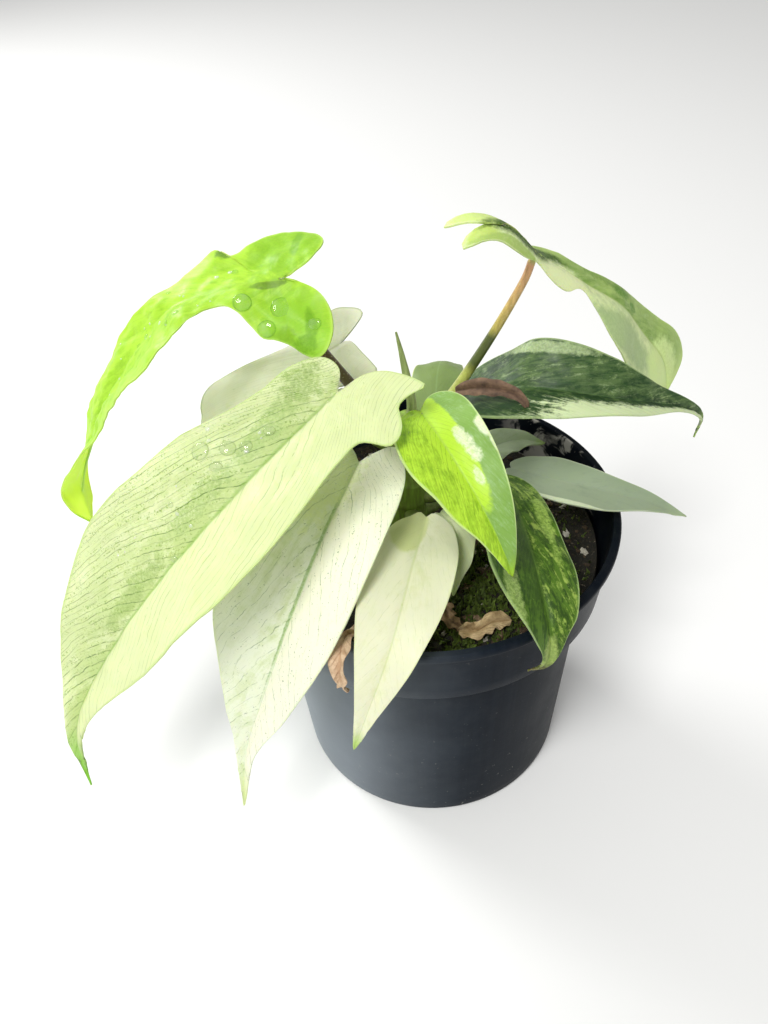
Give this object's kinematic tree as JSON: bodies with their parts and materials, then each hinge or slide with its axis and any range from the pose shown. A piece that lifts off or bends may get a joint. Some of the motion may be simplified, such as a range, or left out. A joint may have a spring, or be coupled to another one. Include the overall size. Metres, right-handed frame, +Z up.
{
  "type": "potted philodendron",
  "caption": "Young lobed-leaf philodendron with pale mint, cream, lime and dark marbled leaves on long stalks, in a round tapered nursery pot filled with mossy soil.",
  "frame": {"origin": "centre of the pot's base, on the surface it stands on", "axes": "+Z up; -Y towards the side the plant is looked at from; +X to the right of that side"},
  "size_m": [0.2014, 0.1321, 0.1988],
  "materials": {
    "pot_plastic": "satin",
    "soil_mix": "matte",
    "stem_green": "satin",
    "petiole_green": "satin",
    "spike_green": "satin",
    "lime_green": "satin",
    "mint_green": "satin",
    "cream_back_green": "satin",
    "white_green": "satin",
    "cream_green": "satin",
    "centre_green": "satin",
    "mottled_green": "satin",
    "grey_green": "satin",
    "pale_low_green": "satin",
    "dark_green": "satin",
    "tall_leaf_green": "satin",
    "small_back_green": "satin",
    "small_cream_green": "satin",
    "sheath_brown": "matte",
    "dry_leaf_tan": "matte"
  },
  "bodies": {
    "root": {"pot": "pot_plastic", "soil": "soil_mix", "stem": "stem_green", "new_leaf_spike": "spike_green", "lime_leaf_blade": "lime_green", "lime_leaf_petiole": "petiole_green", "big_mint_leaf_blade": "mint_green", "big_mint_leaf_petiole": "petiole_green", "cream_back_leaf_blade": "cream_back_green", "cream_back_leaf_petiole": "petiole_green", "white_front_leaf_blade": "white_green", "white_front_leaf_petiole": "petiole_green", "cream_front_leaf_blade": "cream_green", "cream_front_leaf_petiole": "petiole_green", "centre_leaf_blade": "centre_green", "centre_leaf_petiole": "petiole_green", "dark_drooping_leaf_blade": "mottled_green", "dark_drooping_leaf_petiole": "petiole_green", "grey_side_leaf_blade": "grey_green", "grey_side_leaf_petiole": "petiole_green", "pale_low_leaf_blade": "pale_low_green", "pale_low_leaf_petiole": "petiole_green", "dark_side_leaf_blade": "dark_green", "dark_side_leaf_petiole": "petiole_green", "tall_right_leaf_blade": "tall_leaf_green", "tall_right_leaf_petiole": "petiole_green", "small_back_leaf_blade": "small_back_green", "small_back_leaf_petiole": "petiole_green", "small_cream_leaf_blade": "small_cream_green", "small_cream_leaf_petiole": "petiole_green", "dry_sheath": "sheath_brown", "dry_leaf_on_rim": "dry_leaf_tan", "dry_leaf_on_soil": "dry_leaf_tan"}
  },
  "joints": []
}
